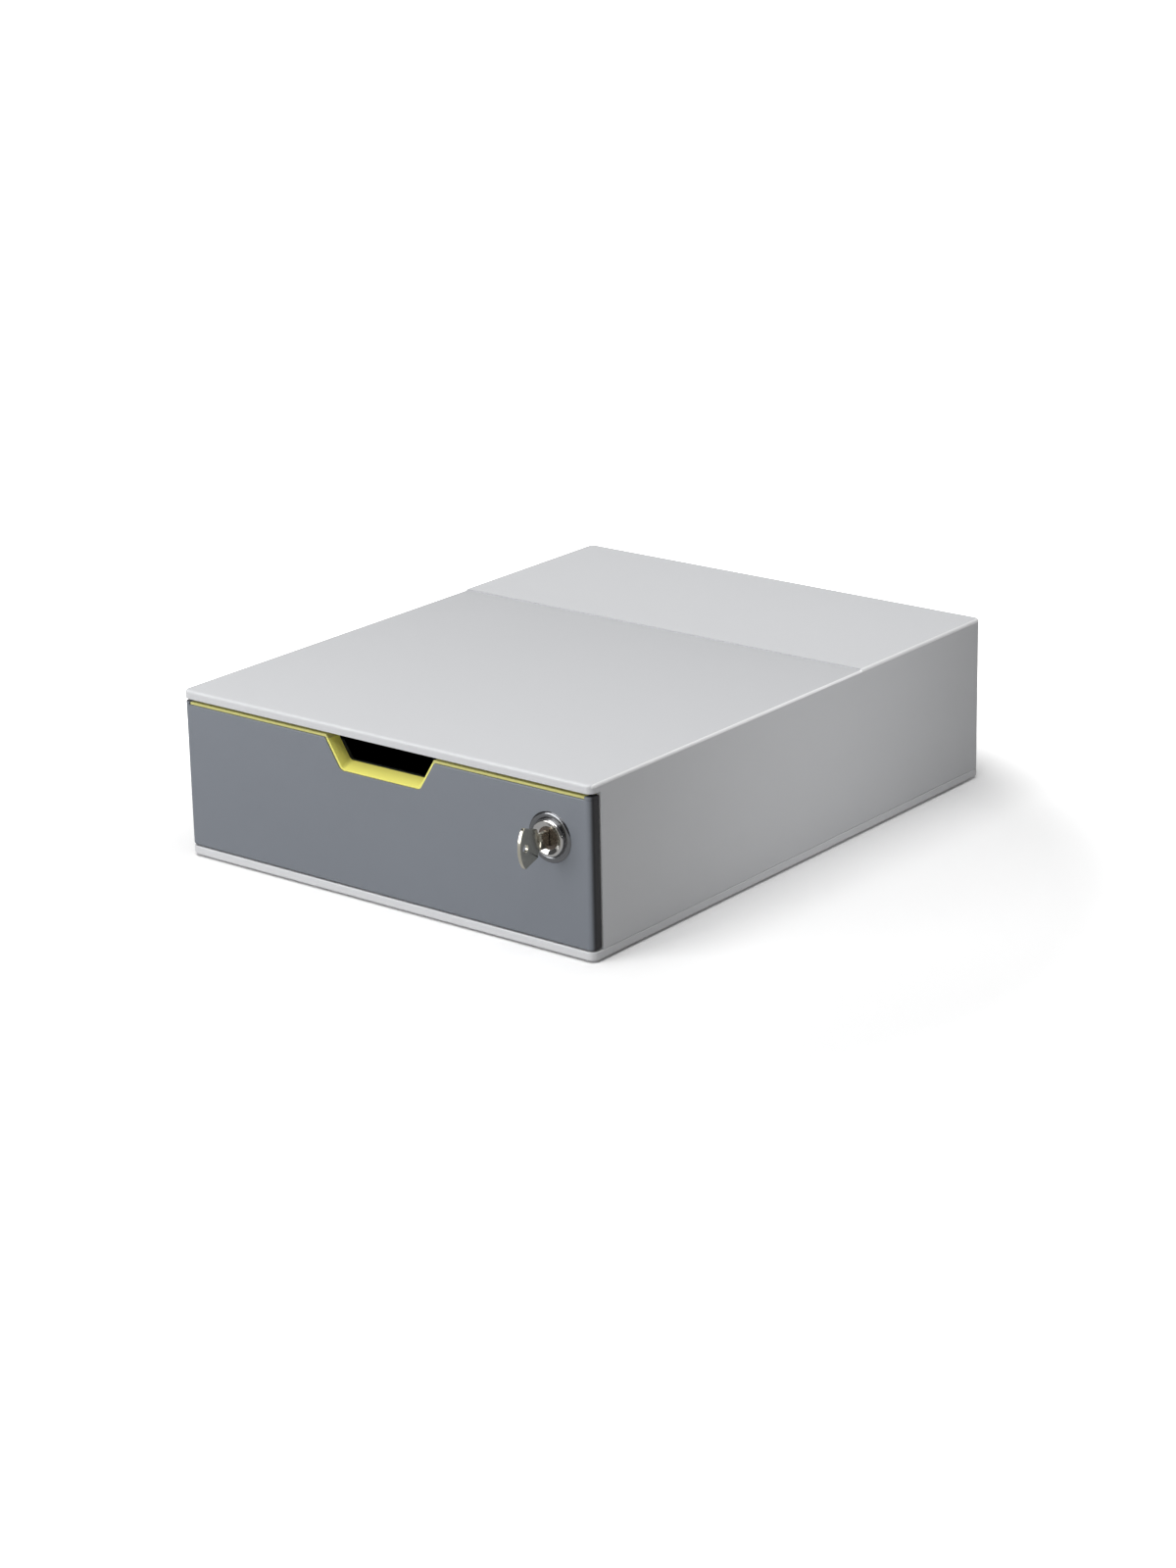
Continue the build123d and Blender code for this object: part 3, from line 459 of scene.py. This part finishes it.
def place_screws(first, places, facing, body, node):
    """A screw at its first place and copies at the others, all standing for one CAD node."""
    stand(first, places[0], facing)
    screws = [first]
    for count, place in enumerate(places[1:], 2):
        screws.append(another(first, f"{first.name}_{count}", place - places[0]))
    for one in screws:
        place_piece(one, zinc, body, "zinc_steel", node)


side_boss_x = 0.1345
side_boss_ys = (-0.13555, 0.15445)
back_boss_x = 0.06
back_boss_y = 0.18495
base_screw_face = 0.0014
base_screw_places = [
    Vector((side * side_boss_x, y, base_screw_face)) for y in side_boss_ys for side in (-1, 1)
]
base_screw_places += [
    Vector((side * back_boss_x, back_boss_y, base_screw_face)) for side in (-1, 1)
]
base_screw = screw(
    "base_screw", head_radius=0.0025, head_height=0.0018,
    radius=0.00125, length=0.014, pitch=0.0011, pointed=True,
)
place_screws(base_screw, base_screw_places, "down", "housing", "base_screws")

front_screw_face = -0.15225
lower_screw_x, lower_screw_z = 0.118, 0.022
upper_screw_x, upper_screw_z = 0.074, 0.07
front_screw_places = [
    Vector((side * lower_screw_x, front_screw_face, lower_screw_z)) for side in (-1, 1)
]
front_screw_places += [
    Vector((side * upper_screw_x, front_screw_face, upper_screw_z)) for side in (-1, 1)
]
front_screw = screw(
    "front_screw", head_radius=0.0025, head_height=0.0018,
    radius=0.00125, length=0.0089, pitch=0.0011, pointed=True,
)
place_screws(front_screw, front_screw_places, "back", "drawer", "front_screws")


# --- Lock: trim ring, body, washer and nut -----------------------------------------------------
# Cam lock of cast zinc, chrome plated: a dished head on a threaded barrel with two flats, in a
# ring of polished dark nickel, drawn tight behind the front with a washer and a hexagon nut.

chrome_dull = (0.5, 0.49, 0.48, 1.0)
chrome_bright = (0.6, 0.59, 0.58, 1.0)
chrome = Finish("lock_chrome", Metallic=1.0)
haze = chrome.noise(900.0, 2.0)
chrome.feed_shader(
    Base_Color=chrome.colour_between(haze, chrome_dull, chrome_bright),
    Roughness=haze * 0.05 + 0.07,
)
nickel_dark = (0.17, 0.175, 0.185, 1.0)
nickel_grey = (0.22, 0.225, 0.235, 1.0)
dark_nickel = Finish("ring_nickel", Metallic=1.0)
smear = dark_nickel.noise(350.0, 3.0)
dark_nickel.feed_shader(
    Base_Color=dark_nickel.colour_between(smear, nickel_dark, nickel_grey),
    Roughness=smear * 0.08 + 0.14,
)
lock_place = Vector((0.1132, -0.16555, 0.0628))
ring_thickness = 0.0009
head_thickness = 0.0029
ring_face = lock_place - Vector((0, ring_thickness, 0))
head_face = lock_place - Vector((0, head_thickness, 0))

ring_profile = [
    (0.01005, 0.0009), (0.01005, 0.00045), (0.0104, 0.0003), (0.0110, 0.0),
    (0.0116, 0.0), (0.01235, 0.00008), (0.0129, 0.00025), (0.0133, 0.00052),
    (0.0135, 0.00075), (0.0135, 0.0009),
]
ring = turned("trim_ring", ring_profile, bored=True, sides=96)
stand(ring, ring_face, "forward")
place_piece(ring, dark_nickel, "drawer", "dark_grey_plastic", "lock_trim_ring")

head_profile = [
    (0.00555, 0.0024), (0.00625, 0.0024), (0.00625, 0.0012), (0.0065, 0.00112), (0.0074, 0.00062),
    (0.0083, 0.0001), (0.00845, 0.0), (0.009, 0.0), (0.0093, 0.00008), (0.0097, 0.0004),
    (0.00995, 0.00075), (0.01, 0.00095), (0.01, 0.0029), (0.00555, 0.0029),
]
head = turned("lock_head", head_profile, bored=True, sides=96)
stand(head, head_face, "forward")
place_piece(head, chrome, "drawer", "lock_chrome", "lock_body")

bore = 0.00555
thread_core = 0.0076
thread_crest = 0.00796
barrel_start, thread_start, thread_end, barrel_end = 0.0028, 0.0048, 0.0203, 0.0209
thread_pitch = 0.001
flat_distance = 0.007
barrel_profile = [(bore, barrel_start), (thread_core, barrel_start)]
turn_depth = thread_start
while turn_depth < thread_end:
    barrel_profile += [
        (thread_core, turn_depth),
        (thread_crest, turn_depth + 0.35 * thread_pitch),
        (thread_crest, turn_depth + 0.45 * thread_pitch),
        (thread_core, turn_depth + 0.8 * thread_pitch),
    ]
    turn_depth += thread_pitch
barrel_profile += [(thread_core, barrel_end), (bore, barrel_end)]
barrel = turned("lock_barrel", barrel_profile, bored=True, sides=72)
bpy.ops.object.mode_set(mode="EDIT")
for side in (-1, 1):
    bpy.ops.mesh.select_all(action="SELECT")
    bpy.ops.mesh.bisect(
        plane_co=(0, side * flat_distance, 0),
        plane_no=(0, side, 0),
        use_fill=True,
        clear_outer=True,
    )
bpy.ops.mesh.select_all(action="SELECT")
bpy.ops.mesh.normals_make_consistent(inside=False)
bpy.ops.object.mode_set(mode="OBJECT")
stand(barrel, head_face, "forward")
place_piece(barrel, zinc, "drawer", "lock_chrome", "lock_body")

washer_back = -0.15305
washer_profile = [
    (0.0081, 0.0), (0.0117, 0.0), (0.0119, 0.00008), (0.012, 0.00025),
    (0.012, 0.00085), (0.0119, 0.001), (0.0081, 0.001),
]
washer = turned("lock_washer_piece", washer_profile, bored=True)
stand(washer, Vector((lock_place.x, washer_back, lock_place.z)), "back")
place_piece(washer, zinc, "drawer", "zinc_steel", "lock_washer")

dress_copy("lock_nut", "lock_nut_piece", 0.00025, zinc, "drawer", "zinc_steel", 3)


# --- Plug and cam ------------------------------------------------------------------------------
# The keyed plug is brass, dark on its face, with its wafers, stop plate, pressed steel cam,
# washer and screw behind it.

plug_dark = (0.1, 0.08, 0.07, 1.0)
plug_bright = (0.22, 0.185, 0.155, 1.0)
plug_metal = Finish("plug_metal", Metallic=1.0)
tarnish = plug_metal.noise(500.0, 3.0, 0.6)
plug_metal.feed_shader(
    Base_Color=plug_metal.colour_between(tarnish, plug_dark, plug_bright),
    Roughness=tarnish * 0.15 + 0.2,
)
dress_copy("lock_plug", "plug_piece", 0.00012, plug_metal, "plug", "plug_brass")

brass_dull = (0.6, 0.45, 0.2, 1.0)
brass_bright = (0.72, 0.56, 0.28, 1.0)
brass = Finish("wafer_brass", Metallic=1.0)
wipe = brass.noise(700.0, 2.0)
brass.feed_shader(
    Base_Color=brass.colour_between(wipe, brass_dull, brass_bright),
    Roughness=wipe * 0.1 + 0.25,
)
wafer_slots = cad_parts["lock_wafers"].data.materials
wafer_slots.clear()
wafer_slots.append(brass.material)

for node in ("lock_cam", "cam_stop_plate", "cam_washer"):
    dress_copy(node, f"{node}_piece", 0.0002, zinc, "plug", "zinc_steel", 3)

cam_bolt_face = -0.14125
cam_bolt = screw(
    "cam_bolt", head_radius=0.0036, head_height=0.0024,
    radius=0.002, length=0.0033, pitch=0.0007, pointed=False,
)
stand(cam_bolt, Vector((lock_place.x, cam_bolt_face, lock_place.z)), "back")
place_piece(cam_bolt, zinc, "plug", "zinc_steel", "cam_screw")


# --- Key ---------------------------------------------------------------------------------------
# Flat steel key, nickel plated and polished, with the ring hole near the crown of its bow and
# fine scratches from the pocket.

key_dull = (0.52, 0.5, 0.42, 1.0)
key_bright = (0.64, 0.62, 0.54, 1.0)
nickel = Finish("key_nickel", Metallic=1.0)
rub = nickel.noise(600.0, 3.0, 0.6)
scratches = nickel.noise(2500.0, 2.0)
nickel.feed_shader(
    Base_Color=nickel.colour_between(rub, key_dull, key_bright),
    Roughness=rub * 0.1 + 0.1,
    Normal=nickel.bump(scratches, 0.000004),
)
dress_copy("key", "key_piece", 0.00028, nickel, "key", "key_steel", 3)


# --- Keeper ------------------------------------------------------------------------------------
# Pressed steel angle under the lid, staked on two studs; the cam turns up behind it. It is zinc
# plated like the cam.

dress_copy("lock_keeper", "keeper_piece", 0.0002, zinc, "housing", "zinc_steel", 3)


# --- Floor, light and camera -------------------------------------------------------------------
# A pale sweep under soft studio light: a large overhead sheet, a softer sheet from the left front
# and a narrow one on the right side. The camera sees white beyond the object's own shadow.

floor_size = 40.0
floor_bounce = (0.52, 0.52, 0.52, 1.0)
floor_white = (0.98, 0.98, 0.98, 1.0)
shadow_middle = (0.07, -0.08, 0.0)
shadow_reach, white_reach = 0.25, 0.40
near_glow, far_glow = 0.04, 1.0
bpy.ops.object.select_all(action="DESELECT")
bpy.ops.mesh.primitive_plane_add(size=floor_size, location=(0, 0, 0))
floor = bpy.context.object
floor.name = "floor"
floor_paint = Finish("floor_paint", Roughness=1.0, Specular_IOR_Level=0.0, Emission_Strength=1.0)
seen = floor_paint.add("ShaderNodeLightPath", output="Is Camera Ray")
from_shadow = floor_paint.add(
    "ShaderNodeVectorMath",
    {"operation": "DISTANCE"},
    {0: floor_paint.place, 1: shadow_middle},
    "Value",
)
glow = floor_paint.step(from_shadow, shadow_reach, white_reach, near_glow, far_glow) * seen
floor_paint.feed_shader(
    Base_Color=floor_paint.colour_between(seen, floor_bounce, floor_white),
    Emission_Color=floor_paint.colour_between(glow, (0, 0, 0, 1), (1, 1, 1, 1)),
)
floor.data.materials.append(floor_paint.material)

room_light = 0.17
mirrored_front, mirrored_back = 0.1, 1.0
front_end_y, back_start_y = 0.1, 0.8
world = bpy.data.worlds.new("studio")
bpy.context.scene.world = world
world.use_nodes = True
room = NodeSheet(world.node_tree)
direction = room.add("ShaderNodeTexCoord", output="Generated")
toward_back = room.add("ShaderNodeSeparateXYZ", {}, {0: direction}, "Y")
mirrored = room.step(toward_back, front_end_y, back_start_y, mirrored_front, mirrored_back)
glossy = room.add("ShaderNodeLightPath", output="Is Glossy Ray")
on_object = room.add("ShaderNodeMix", {}, {0: glossy, 2: room_light, 3: mirrored})
room_seen = room.add("ShaderNodeLightPath", output="Is Camera Ray")
room_level = room.add("ShaderNodeMix", {}, {0: room_seen, 2: on_object, 3: 1.0})
background = world.node_tree.nodes["Background"]
background.inputs["Color"].default_value = (1, 1, 1, 1)
world.node_tree.links.new(room_level.socket, background.inputs["Strength"])


def hang_lamp(name, place, target, size, power):
    """A square soft lamp aimed at a point."""
    bpy.ops.object.light_add(type="AREA", location=place)
    lamp = bpy.context.object
    lamp.name = name
    lamp.data.shape = "SQUARE"
    lamp.data.size = size
    lamp.data.energy = power
    lamp.rotation_euler = (Vector(target) - Vector(place)).to_track_quat("-Z", "Y").to_euler()
    return lamp


hang_lamp("overhead", (0.0, -0.7, 2.3), (0, 0, 0), size=2.2, power=49.5)
hang_lamp("left_front", (-1.1, -2.5, 0.9), (0, -0.1, 0.05), size=1.6, power=39.0)
side_lamp = hang_lamp(
    "right_side", (1.6, 0.05, 0.35), (0.14, 0.03, 0.08), size=0.15, power=0.045
)
side_lamp.data.spread = radians(16)

camera_turn = radians(38.68)
camera_dip = radians(18.98)
camera_roll = radians(-1.21)
camera_place = Vector((1.2200, -1.5168, 0.6912))
lens_mm = 85.1
bpy.ops.object.camera_add()
camera = bpy.context.object
camera.name = "camera"
camera.data.lens = lens_mm
camera.data.sensor_width = 36.0
camera.matrix_world = (
    Matrix.Translation(camera_place)
    @ Matrix.Rotation(camera_turn, 4, "Z")
    @ Matrix.Rotation(pi / 2 - camera_dip, 4, "X")
    @ Matrix.Rotation(camera_roll, 4, "Z")
)
bpy.context.scene.camera = camera
bpy.context.scene.view_settings.view_transform = "Standard"
